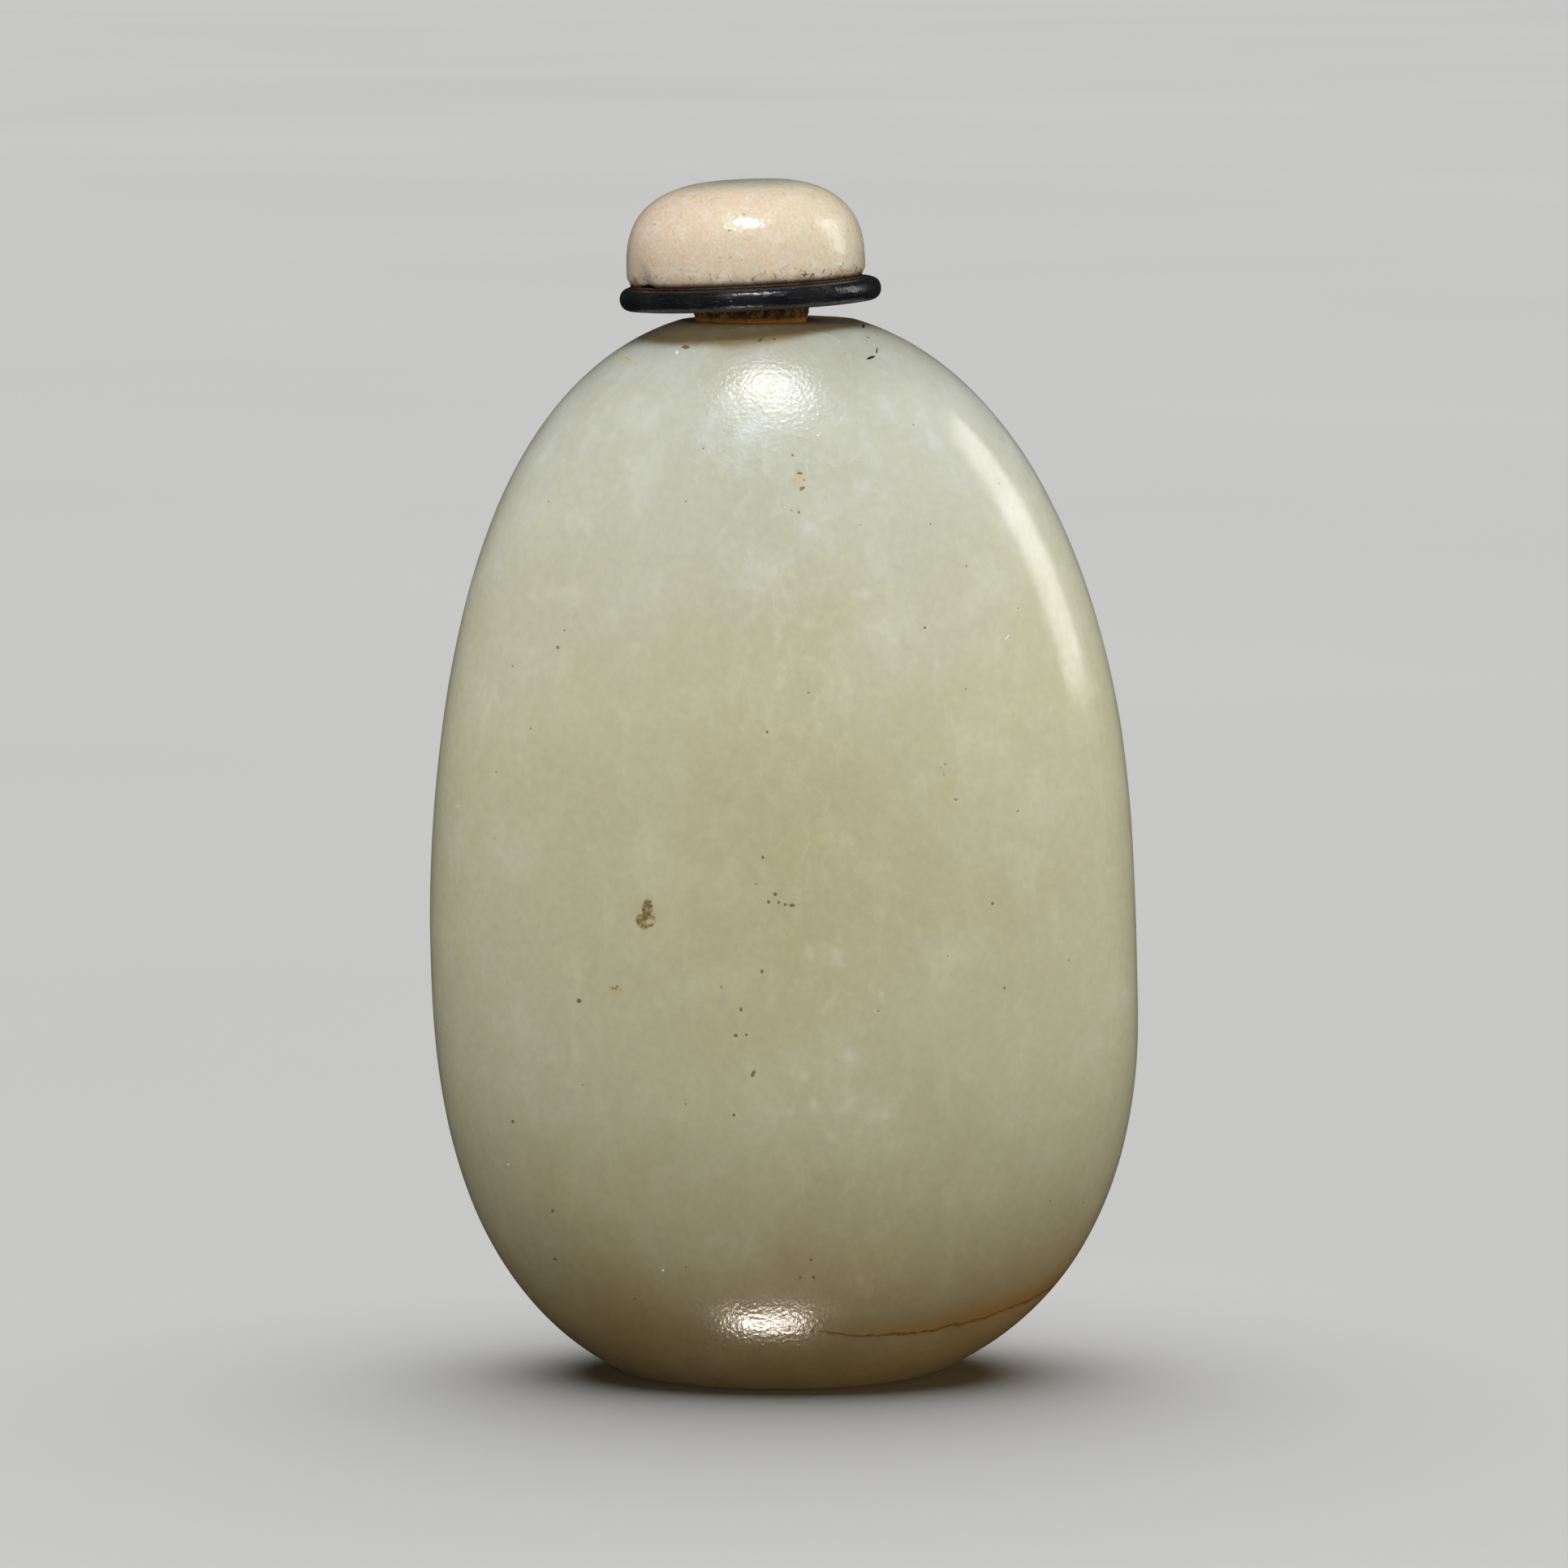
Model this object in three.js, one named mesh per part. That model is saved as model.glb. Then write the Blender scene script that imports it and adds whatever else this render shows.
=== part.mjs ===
// Pebble-shaped jade snuff bottle with its stopper: a cork, a black collar and a domed
// stone cap. Millimetres, +Z up. The origin is the middle of the flat foot, the broad
// faces look along -Y and +Y, and the left and right flanks lie along -X and +X.
import * as THREE from 'three';

// ---- Driving dimensions of the bottle ---------------------------------------------

// The bottle is widest at this height, and tapers as a superellipse above and below it.
const WIDEST_Z = 23.7;
const LIP_Z = 61.66;

// Each outline: its half-size at the widest level, then the height of the whole
// superellipse and its exponent, above and below that level.
const OUTER_WIDTH = { half: 20.63, up: 38.6, upPower: 2.34, down: 25.2, downPower: 2.43 };
const OUTER_DEPTH = { half: 13.1, up: 39.1, upPower: 2.8, down: 25.2, downPower: 3.2 };
const INNER_WIDTH = { half: 16.9, up: 32.3, upPower: 2.3, down: 19.3, downPower: 2.4 };
const INNER_DEPTH = { half: 9.4, up: 32.3, upPower: 2.6, down: 19.3, downPower: 2.8 };

// The pebble isn't quite even: its centre line swings right just above the foot, leans
// left towards the mouth, and gives way to a fuller left flank near the widest level.
const SWAY = 0.62;
const SWAY_RISE = 3.8;
const LEAN = 1.27;
const SWELL = 0.2;
const SWELL_Z = 27;
const SWELL_SPAN = 8;

// The foot is a flat oval with a softened edge.
const FOOT_ROUNDING = 0.25;

// The bore goes straight down from the lip into the hollow.
const BORE_X = -1.62;
const BORE_RADIUS = 3.25;
const BORE_CHAMFER = 0.15;
const HOLLOW_TOP_Z = 54.9;
const HOLLOW_FLOOR_Z = 4.6;

// ---- Driving dimensions of the stopper --------------------------------------------

// The stopper leans: its right side sits a little high in the mouth.
const STOPPER_LEAN = THREE.MathUtils.degToRad(2.8);
const STOPPER_GAP = 0.3;

const CORK_TOP_RADIUS = 3.3;
const CORK_LIP_RADIUS = 2.93;
const CORK_END_RADIUS = 2.55;
const CORK_DEPTH = 5.8;
const CORK_STAND = 0.58;
const CORK_END_ROUNDING = 0.5;

const COLLAR_RADIUS = 7.6;
const COLLAR_THICKNESS = 1.3;
const COLLAR_EDGE_POWER = 2.4;

const CAP_RADIUS = 6.93;
const CAP_BASE_RADIUS = 6.84;
const CAP_BULGE_HEIGHT = 0.4;
const CAP_HEIGHT = 5.68;
const CAP_POWER = 2.8;
const CAP_SHIFT = -0.18;

// ---- Mesh fineness ----------------------------------------------------------------

const RING_STEPS = 60;
const OUTER_LEVELS = 34;
const INNER_LEVELS = 18;
const CAP_STEPS = 48;
const CAP_LEVELS = 13;
const COLLAR_EDGE_STEPS = 10;
const CORK_STEPS = 32;

// ---- Materials --------------------------------------------------------------------

const jade = new THREE.MeshStandardMaterial({ color: 0xb9bda6, roughness: 0.3, metalness: 0 });
const cork = new THREE.MeshStandardMaterial({ color: 0x8a5a22, roughness: 0.9, metalness: 0 });
const horn = new THREE.MeshStandardMaterial({ color: 0x101113, roughness: 0.2, metalness: 0 });
const blushStone = new THREE.MeshStandardMaterial({ color: 0xd9bfa4, roughness: 0.3, metalness: 0 });

// ---- Shape functions --------------------------------------------------------------

// Half-size of an outline at a height.
function halfSize(outline, z) {
  const above = z > WIDEST_Z;
  const reach = above ? outline.up : outline.down;
  const power = above ? outline.upPower : outline.downPower;
  const part = Math.min(Math.abs(z - WIDEST_Z) / reach, 1);
  return outline.half * Math.pow(1 - Math.pow(part, power), 1 / power);
}

// Where the centre line stands in X at a height.
function centreX(z) {
  const sway = SWAY * (1 - Math.exp(-z / SWAY_RISE));
  const lean = LEAN * Math.pow(z / LIP_Z, 2);
  const swell = SWELL * Math.exp(-Math.pow((z - SWELL_Z) / SWELL_SPAN, 2));
  return sway - lean - swell;
}

// One level of a body of oval section.
function ovalRing(x, z, halfWidth, halfDepth) {
  const ring = [];
  for (let i = 0; i < RING_STEPS; i += 1) {
    const angle = (2 * Math.PI * i) / RING_STEPS;
    ring.push(new THREE.Vector3(x + halfWidth * Math.cos(angle), halfDepth * Math.sin(angle), z));
  }
  return ring;
}

// Heights from low to high, close together at both ends, where the outline turns fast.
function easedHeights(low, high, count) {
  const heights = [];
  for (let i = 0; i <= count; i += 1) {
    heights.push(low + (high - low) * (0.5 - 0.5 * Math.cos((Math.PI * i) / count)));
  }
  return heights;
}

// A closed body through a pole, a run of rings, and another pole.
function closedLoft(firstPole, rings, lastPole) {
  const vertices = [firstPole, ...rings.flat(), lastPole];
  const faces = [];
  const at = (ring, step) => 1 + ring * RING_STEPS + (step % RING_STEPS);
  const last = rings.length - 1;
  for (let step = 0; step < RING_STEPS; step += 1) {
    faces.push(0, at(0, step + 1), at(0, step));
    for (let ring = 0; ring < last; ring += 1) {
      faces.push(at(ring, step), at(ring, step + 1), at(ring + 1, step));
      faces.push(at(ring, step + 1), at(ring + 1, step + 1), at(ring + 1, step));
    }
    faces.push(at(last, step), at(last, step + 1), vertices.length - 1);
  }
  const geometry = new THREE.BufferGeometry().setFromPoints(vertices);
  geometry.setIndex(faces);
  geometry.computeVertexNormals();
  return geometry;
}

// A turned piece about +Z, from a profile of [radius, height] that starts and ends on
// the axis.
function turned(profile, steps) {
  const points = profile.map(([radius, height]) => new THREE.Vector2(radius, height));
  return new THREE.LatheGeometry(points, steps).rotateX(Math.PI / 2);
}

// ---- Bottle -----------------------------------------------------------------------

// The skin runs from the foot up the outside to the lip, then down the bore and the
// hollow to the floor inside, so that the bottle is one open-mouthed body.
function bottleGeometry() {
  const outside = easedHeights(0, LIP_Z, OUTER_LEVELS).map((z) => {
    const inset = z === 0 ? FOOT_ROUNDING : 0;
    const halfWidth = halfSize(OUTER_WIDTH, z) - inset;
    const halfDepth = halfSize(OUTER_DEPTH, z) - inset;
    return ovalRing(centreX(z), z, halfWidth, halfDepth);
  });
  const mouthRadius = BORE_RADIUS + BORE_CHAMFER;
  const bore = [
    ovalRing(BORE_X, LIP_Z, mouthRadius, mouthRadius),
    ovalRing(BORE_X, LIP_Z - BORE_CHAMFER, BORE_RADIUS, BORE_RADIUS),
    ovalRing(BORE_X, HOLLOW_TOP_Z + BORE_CHAMFER, BORE_RADIUS, BORE_RADIUS),
  ];
  const inside = easedHeights(HOLLOW_FLOOR_Z, HOLLOW_TOP_Z, INNER_LEVELS).reverse().map((z) => (
    ovalRing(centreX(z), z, halfSize(INNER_WIDTH, z), halfSize(INNER_DEPTH, z))
  ));
  const footPole = new THREE.Vector3(0, 0, 0);
  const floorPole = new THREE.Vector3(centreX(HOLLOW_FLOOR_Z), 0, HOLLOW_FLOOR_Z);
  return closedLoft(footPole, [...outside, ...bore, ...inside], floorPole);
}

// ---- Stopper ----------------------------------------------------------------------

// Heights here are measured along the stopper's own axis, from the lip.

function corkGeometry() {
  return turned([
    [0, -CORK_DEPTH],
    [CORK_END_RADIUS - CORK_END_ROUNDING, -CORK_DEPTH],
    [CORK_END_RADIUS, CORK_END_ROUNDING - CORK_DEPTH],
    [CORK_LIP_RADIUS, 0],
    [CORK_TOP_RADIUS, CORK_STAND],
    [0, CORK_STAND],
  ], CORK_STEPS);
}

// A flat disc with a fully rounded rim.
function collarGeometry() {
  const base = CORK_STAND + STOPPER_GAP;
  const half = COLLAR_THICKNESS / 2;
  const profile = [[0, base]];
  for (let i = 0; i <= COLLAR_EDGE_STEPS; i += 1) {
    const angle = Math.PI * (i / COLLAR_EDGE_STEPS - 0.5);
    const outward = Math.pow(Math.cos(angle), 2 / COLLAR_EDGE_POWER);
    profile.push([COLLAR_RADIUS - half + half * outward, base + half + half * Math.sin(angle)]);
  }
  profile.push([0, base + COLLAR_THICKNESS]);
  return turned(profile, CAP_STEPS);
}

// A low dome whose wall draws in a little to its flat base. It sits a little left of the
// stopper's axis.
function capGeometry() {
  const base = CORK_STAND + COLLAR_THICKNESS + 2 * STOPPER_GAP;
  const bulge = base + CAP_BULGE_HEIGHT;
  const rise = CAP_HEIGHT - CAP_BULGE_HEIGHT;
  const profile = [[0, base], [CAP_BASE_RADIUS, base]];
  for (let i = 0; i < CAP_LEVELS; i += 1) {
    const angle = (Math.PI / 2) * (i / CAP_LEVELS);
    const radius = CAP_RADIUS * Math.pow(Math.cos(angle), 2 / CAP_POWER);
    profile.push([radius, bulge + rise * Math.pow(Math.sin(angle), 2 / CAP_POWER)]);
  }
  profile.push([0, bulge + rise]);
  return turned(profile, CAP_STEPS).translate(CAP_SHIFT, 0, 0);
}

// ---- The object -------------------------------------------------------------------

function piece(name, geometry, material) {
  const mesh = new THREE.Mesh(geometry, material);
  mesh.name = name;
  return mesh;
}

const stopper = new THREE.Group();
stopper.position.set(BORE_X, 0, LIP_Z);
stopper.rotation.y = -STOPPER_LEAN;
stopper.add(piece('stopper_cork', corkGeometry(), cork));
stopper.add(piece('stopper_collar', collarGeometry(), horn));
stopper.add(piece('stopper_cap', capGeometry(), blushStone));

const snuffBottle = new THREE.Group();
snuffBottle.add(piece('bottle', bottleGeometry(), jade));
snuffBottle.add(stopper);

export default snuffBottle;
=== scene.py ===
"""The looks of a pebble-shaped jade snuff bottle with a cork, a black collar and a stone cap."""

import math

import bpy
from mathutils import Matrix, Vector, noise


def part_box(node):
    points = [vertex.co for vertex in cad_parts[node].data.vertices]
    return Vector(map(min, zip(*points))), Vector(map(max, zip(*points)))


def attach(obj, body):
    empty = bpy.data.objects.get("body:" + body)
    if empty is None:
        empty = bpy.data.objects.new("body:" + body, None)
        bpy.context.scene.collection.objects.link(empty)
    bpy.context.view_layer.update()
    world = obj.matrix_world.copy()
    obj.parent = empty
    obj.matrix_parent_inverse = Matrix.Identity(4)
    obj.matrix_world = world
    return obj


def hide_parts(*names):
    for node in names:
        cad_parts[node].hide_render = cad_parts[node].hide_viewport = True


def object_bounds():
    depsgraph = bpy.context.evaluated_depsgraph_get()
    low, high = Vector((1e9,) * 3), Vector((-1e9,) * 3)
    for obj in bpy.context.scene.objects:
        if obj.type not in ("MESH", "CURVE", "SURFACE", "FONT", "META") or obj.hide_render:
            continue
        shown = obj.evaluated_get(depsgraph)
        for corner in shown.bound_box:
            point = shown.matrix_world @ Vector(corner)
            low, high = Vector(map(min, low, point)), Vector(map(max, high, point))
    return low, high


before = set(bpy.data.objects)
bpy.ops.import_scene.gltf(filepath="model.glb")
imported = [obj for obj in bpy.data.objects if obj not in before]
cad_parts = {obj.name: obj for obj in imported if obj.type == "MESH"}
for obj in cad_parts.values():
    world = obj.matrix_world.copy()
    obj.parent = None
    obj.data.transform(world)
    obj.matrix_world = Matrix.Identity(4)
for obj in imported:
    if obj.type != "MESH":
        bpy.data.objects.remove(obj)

cad_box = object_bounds()

# ---- Sizes from the frame ---------------------------------------------------------

bottle_low, bottle_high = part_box("bottle")
collar_low, collar_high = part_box("stopper_collar")
cap_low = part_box("stopper_cap")[0]

# Everything below is drawn in millimetres on a bottle with its lip at this height. The
# frame's own bottle sets how many metres a drawn millimetre is.
LIP_Z = 61.66
UNIT = (bottle_high.z - bottle_low.z) / LIP_Z
HALF_WIDTH = (bottle_high.x - bottle_low.x) / (2 * UNIT)
HALF_DEPTH = (bottle_high.y - bottle_low.y) / (2 * UNIT)


def drawn(corner):
    """A place in the frame, in drawn millimetres."""
    return Vector(corner) / UNIT


# ---- Shape of the bottle ----------------------------------------------------------

# The bottle is widest at this height. Each outline holds its half-size there, then the
# height of its superellipse and the exponent, above and below.
WIDEST_Z = 23.7
WALL_SIDE = 3.73
WALL_FACE = 3.7


def superellipse(half, up, up_power, down, down_power):
    """An outline, for half_size to read by name."""
    return {"half": half, "up": up, "up_power": up_power, "down": down, "down_power": down_power}


OUTER_WIDTH = superellipse(HALF_WIDTH, 38.6, 2.34, 25.2, 2.43)
OUTER_DEPTH = superellipse(HALF_DEPTH, 39.1, 2.8, 25.2, 3.2)
INNER_WIDTH = superellipse(HALF_WIDTH - WALL_SIDE, 32.3, 2.3, 19.3, 2.4)
INNER_DEPTH = superellipse(HALF_DEPTH - WALL_FACE, 32.3, 2.6, 19.3, 2.8)

# The centre line swings right just above the foot, leans left towards the mouth, and
# gives way to a fuller left flank near the widest level.
SWAY, SWAY_RISE = 0.62, 3.8
LEAN = 1.27
SWELL, SWELL_Z, SWELL_SPAN = 0.2, 27, 8
FOOT_ROUNDING = 0.25
BORE_X = -1.62
BORE_RADIUS = 3.33
BORE_ROUNDING = 0.22
HOLLOW_TOP_Z = 54.9
HOLLOW_TOP_GAP = 0.15
HOLLOW_FLOOR_Z = 4.6
# Only the shoulders and the mouth are above this height.
MOUTH_Z = 50

# ---- Shape of the stopper ---------------------------------------------------------

# The stopper's own frame stands on the middle of the collar and leans to the left. Each
# run of bumps has a height, a size and a seed.
STOPPER_LEAN = math.radians(2.8)
COLLAR_MIDDLE = (drawn(collar_low) + drawn(collar_high)) / 2
STOPPER_FRAME = Matrix.Translation(COLLAR_MIDDLE) @ Matrix.Rotation(-STOPPER_LEAN, 4, "Y")

COLLAR_RADIUS = 7.6
COLLAR_HALF_THICKNESS = 0.65
COLLAR_EDGE_POWER = 2.4
COLLAR_RIDGE_RADIUS = 7.0
COLLAR_RIDGE_HEIGHT = 0.035
COLLAR_RIDGE_WIDTH = 0.07
COLLAR_BUMPS = [(0.012, 3.1, 5)]

CAP_RADIUS = 6.93
CAP_BASE_RADIUS = 6.78
CAP_BULGE_HEIGHT = 0.5
CAP_BASE = COLLAR_HALF_THICKNESS + 0.1
CAP_TOP = 6.63
CAP_POWER = 2.8
CAP_SHIFT = -0.18
CAP_EDGE = 0.16
CAP_BUMPS = [(0.05, 5.5, 2), (0.016, 2.1, 6)]
CAP_NICK_HEIGHT = 0.3

CORK_TOP = -COLLAR_HALF_THICKNESS - 0.03
CORK_TOP_RADIUS = 3.42
CORK_LIP = -1.53
CORK_LIP_RADIUS = 3.24
CORK_END = -7.6
CORK_END_RADIUS = 2.6
CORK_END_ROUNDING = 0.5
CORK_BUMPS = [(0.09, 0.5, 3), (0.06, 0.22, 7)]
CORK_WEAR = 0.03

SEAM_RADIUS = 6.62
SEAM_THICKNESS = 0.17
SEAM_MIDDLE = COLLAR_HALF_THICKNESS + 0.06
SEAM_BUMPS = [(0.09, 1.2, 4), (0.04, 0.35, 8)]

# Where the cap's lower edge is chipped, as a place on the stopper, and how big the chip is.
CHIP = Vector((-5.9, -3.4, CAP_BASE + 0.25))
CHIP_DEPTH, CHIP_SPREAD = 0.28, 0.75

# ---- Mesh fineness ----------------------------------------------------------------

RING_STEPS = 300
OUTER_LEVELS = 230
INNER_LEVELS = 44
BORE_LEVELS = 10
MOUTH_STEPS = 5
TURNED_STEPS = 240
COLLAR_EDGE_STEPS = 32
COLLAR_TOP_LEVELS = 24
COLLAR_TOP_SPACING = 0.03
CAP_EDGE_STEPS = 6
CAP_LEVELS = 84
CORK_LEVEL_HEIGHT = 0.09
SEAM_STEPS = 12
# even_heights looks for its levels among this many times as many.
SEARCH_STEPS = 40

# ---- Mesh building ----------------------------------------------------------------


def half_size(outline, z):
    """Half-size of an outline at a height."""
    side = "up" if z > WIDEST_Z else "down"
    power = outline[side + "_power"]
    part = min(abs(z - WIDEST_Z) / outline[side], 1)
    return outline["half"] * (1 - part**power) ** (1 / power)


def centre_x(z):
    """Where the bottle's centre line stands in X at a height."""
    sway = SWAY * (1 - math.exp(-z / SWAY_RISE))
    swell = SWELL * math.exp(-(((z - SWELL_Z) / SWELL_SPAN) ** 2))
    return sway - LEAN * (z / LIP_Z) ** 2 - swell


def even_heights(outline, low, high, count):
    """Heights whose levels are evenly spaced along an outline, not along Z."""
    fine = SEARCH_STEPS * count
    turns = [math.pi * i / fine for i in range(fine + 1)]
    heights = [low + (high - low) * (0.5 - 0.5 * math.cos(turn)) for turn in turns]
    lengths = [0.0]
    for below, above in zip(heights, heights[1:]):
        across = half_size(outline, above) - half_size(outline, below)
        lengths.append(lengths[-1] + math.hypot(across, above - below))
    chosen = []
    place = 0
    for i in range(count + 1):
        wanted = lengths[-1] * i / count
        while place < fine and lengths[place] < wanted:
            place += 1
        chosen.append(heights[place])
    return chosen


def oval_ring(x, z, half_width, half_depth, steps):
    """One level of a body of oval section."""
    turns = [2 * math.pi * i / steps for i in range(steps)]
    return [Vector((x + half_width * math.cos(a), half_depth * math.sin(a), z)) for a in turns]


def lathe_rings(profile, steps, shift=0):
    """The levels of a turned piece, from a profile of (radius, height) off the axis."""
    return [oval_ring(shift, height, radius, radius, steps) for radius, height in profile]


def level_normals(rings):
    """The outward direction at each point of a run of rings that climbs."""
    steps = len(rings[0])
    normals = []
    for i, ring in enumerate(rings):
        below = rings[max(i - 1, 0)]
        above = rings[min(i + 1, len(rings) - 1)]
        row = []
        for j in range(steps):
            around = ring[(j + 1) % steps] - ring[j - 1]
            row.append(around.cross(above[j] - below[j]).normalized())
        normals.append(row)
    return normals


def carved(rings, relief):
    """The rings with each point moved along its outward direction by relief(point)."""
    normals = level_normals(rings)
    return [
        [point + normal * relief(point) for point, normal in zip(ring, row)]
        for ring, row in zip(rings, normals)
    ]


def mesh_object(name, points, faces, material):
    """A mesh in the scene, from points in metres."""
    mesh = bpy.data.meshes.new(name)
    mesh.from_pydata(points, [], faces)
    mesh.materials.append(material)
    made = bpy.data.objects.new(name, mesh)
    bpy.context.scene.collection.objects.link(made)
    return made


def riding_piece(name, points, faces, material):
    """A smooth piece that rides on the bottle, from points in drawn millimetres."""
    piece = mesh_object(name, [point * UNIT for point in points], faces, material)
    piece.data.polygons.foreach_set("use_smooth", [True] * len(faces))
    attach(piece, "root")
    return piece


def closed_piece(name, rings, first_pole, last_pole, material, slot, place=None):
    """A closed piece through a pole, a run of rings and another pole."""
    steps = len(rings[0])
    points = [first_pole, *(point for ring in rings for point in ring), last_pole]
    if place:
        points = [place @ point for point in points]
    last = len(points) - 1
    faces = []
    for j in range(steps):
        after = (j + 1) % steps
        faces.append((0, 1 + after, 1 + j))
        for i in range(len(rings) - 1):
            low = 1 + i * steps
            high = low + steps
            faces.append((low + j, low + after, high + after, high + j))
        low = 1 + (len(rings) - 1) * steps
        faces.append((low + j, low + after, last))
    return riding_piece(name, points, faces, material)


def ripple(point, size, seed):
    """Smooth noise from -1 to 1, with bumps of about the given size."""
    return noise.noise(point / size + Vector((seed, 2.3 * seed, -1.7 * seed)))


def unevenness(point, runs):
    """How far a surface wanders at a point, from runs of bumps: height, size and seed."""
    return sum(height * ripple(point, size, seed) for height, size, seed in runs)


def dents(point, depth, size, seed, rarity=0):
    """How deep scattered dents are at a point. They are fewer when rarity is high."""
    return depth * max(0, ripple(point, size, seed) - rarity)


# ---- Marks on the jade ------------------------------------------------------------

# Marks on the front face: x and z of the middle, half-width, half-height, lean in degrees
# and how ragged the mark is, from 0, a clean oval, to 1, mostly gaps.
BROWN_MARKS = [
    (1.15, 53.5, 0.4, 0.16, 10, 0.5),
    (1.3, 52.65, 0.34, 0.28, -30, 0.55),
    (0.75, 54.5, 0.08, 0.08, 0, 0),
    (1.1, 51.3, 0.07, 0.1, 0, 0),
    (-0.25, 29.65, 0.16, 0.16, 0, 0.2),
    (0.72, 29.0, 0.24, 0.14, 0, 0.2),
    (-0.62, 29.2, 0.12, 0.16, 0, 0.2),
    (-0.95, 31.75, 0.09, 0.12, 0, 0),
    (-9.4, 24.0, 0.6, 0.25, 10, 0.75),
    (-11.5, 23.2, 0.16, 0.16, 0, 0),
    (-1.0, 25.2, 0.1, 0.14, 0, 0),
    (-2.2, 23.0, 0.1, 0.14, 0, 0),
    (-2.5, 21.5, 0.14, 0.12, 0, 0),
    (-1.9, 21.55, 0.08, 0.1, 0, 0),
    (-1.5, 19.3, 0.16, 0.3, 25, 0.2),
    (-2.6, 16.9, 0.1, 0.12, 0, 0),
    (-15.4, 15.8, 0.11, 0.12, 0, 0),
    (-13.1, 10.7, 0.1, 0.13, 0, 0),
    (-13.0, 7.7, 0.14, 0.1, 0, 0),
    (12.2, 28.8, 0.14, 0.12, 0, 0.2),
    (12.9, 23.9, 0.08, 0.1, 0, 0),
    (-0.7, 38.9, 0.08, 0.1, 0, 0),
    (8.3, 44.7, 0.08, 0.1, 0, 0),
    (-12.7, 43.4, 0.1, 0.12, 0, 0),
    (1.8, 8.4, 0.09, 0.09, 0, 0),
    (1.2, 7.35, 0.09, 0.09, 0, 0),
    (1.95, 7.35, 0.11, 0.11, 0, 0),
    (-5.4, 60.4, 0.4, 0.18, 0, 0.35),
    (-1.1, 60.85, 0.22, 0.1, -30, 0.1),
    (-0.3, 60.9, 0.12, 0.07, 0, 0),
]
BLACK_MARKS = [
    (5.25, 59.8, 0.3, 0.08, -15, 0),
    (5.6, 60.15, 0.05, 0.2, 10, 0),
    (4.85, 61.4, 0.1, 0.08, 0, 0),
]
# Patches strewn with brown crumbs, and the yellowish stains round them.
CRUMB_PATCHES = [
    (1.25, 53.15, 0.55, 0.75, -20, 0.35),
    (9.35, 36.6, 0.42, 0.75, 10, 0.35),
    (10.0, 34.7, 0.42, 0.95, 20, 0.5),
    (-9.3, 24.0, 0.95, 0.5, 10, 0.45),
    (-8.6, 59.55, 1.6, 0.35, 15, 0.45),
    (0.1, 29.1, 1.0, 0.45, 0, 0.4),
    (5.3, 60.9, 1.3, 0.5, -25, 0.6),
]
STAINED_PATCHES = [
    (1.2, 53.0, 0.9, 1.3, 0, 0.3),
    (9.7, 35.7, 1.1, 2.1, 14, 0.3),
    (-9.3, 24.0, 1.6, 0.9, 10, 0.3),
    (-8.8, 59.5, 2.2, 0.7, 15, 0.3),
]
WHITE_MARKS = [
    (-5.9, 60.1, 0.09, 0.09, 0, 0),
    (13.05, 43.95, 0.32, 0.07, -45, 0.3),
    (-18.6, 33.8, 0.06, 0.08, 0, 0),
    (-6.7, 7.6, 0.08, 0.1, 0, 0),
    (-15.7, 13.2, 0.07, 0.09, 0, 0),
    (2.2, 55.6, 0.07, 0.07, 0, 0),
]
# A bruise in two lobes, with a paler core.
BRUISE = [(-7.65, 28.0, 0.78, 0.6, -12, 0.15), (-7.55, 28.7, 0.42, 0.75, 8, 0.15)]
BRUISE_CORE = (-7.4, 27.95, 0.34, 0.16, -10, 0.05)
# The lowest place of an old crack, and how steeply it climbs to either side of it.
CRACK_X, CRACK_Z = 5.5, 3.6
CRACK_BEND_RIGHT, CRACK_BEND_LEFT = 0.0145, 0.035

# Shallow pits: x and z of the middle, half-width, half-height and depth.
PITS = [(*BRUISE[0][:4], 0.07), (1.3, 53.4, 0.7, 0.9, 0.035), (9.6, 35.8, 0.5, 1.5, 0.03)]

# The bumps of the polished surface, which fade out this near the foot and the lip.
JADE_BUMPS = [(0.045, 11, 3), (0.014, 4.2, 7), (0.0025, 1.3, 11)]
EDGE_FADE = 1.5


def jade_relief(point):
    """Hand-worked unevenness of the polished face, with shallow pits on the front."""
    height = unevenness(point, JADE_BUMPS)
    if point.y < 0:
        for x, z, across, up, depth in PITS:
            away = ((point.x - x) / across) ** 2 + ((point.z - z) / up) ** 2
            height -= depth * math.exp(-away)
    fade = min(1, min(point.z, LIP_Z - point.z) / EDGE_FADE)
    return height * fade


# ---- Shader helpers ---------------------------------------------------------------


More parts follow.
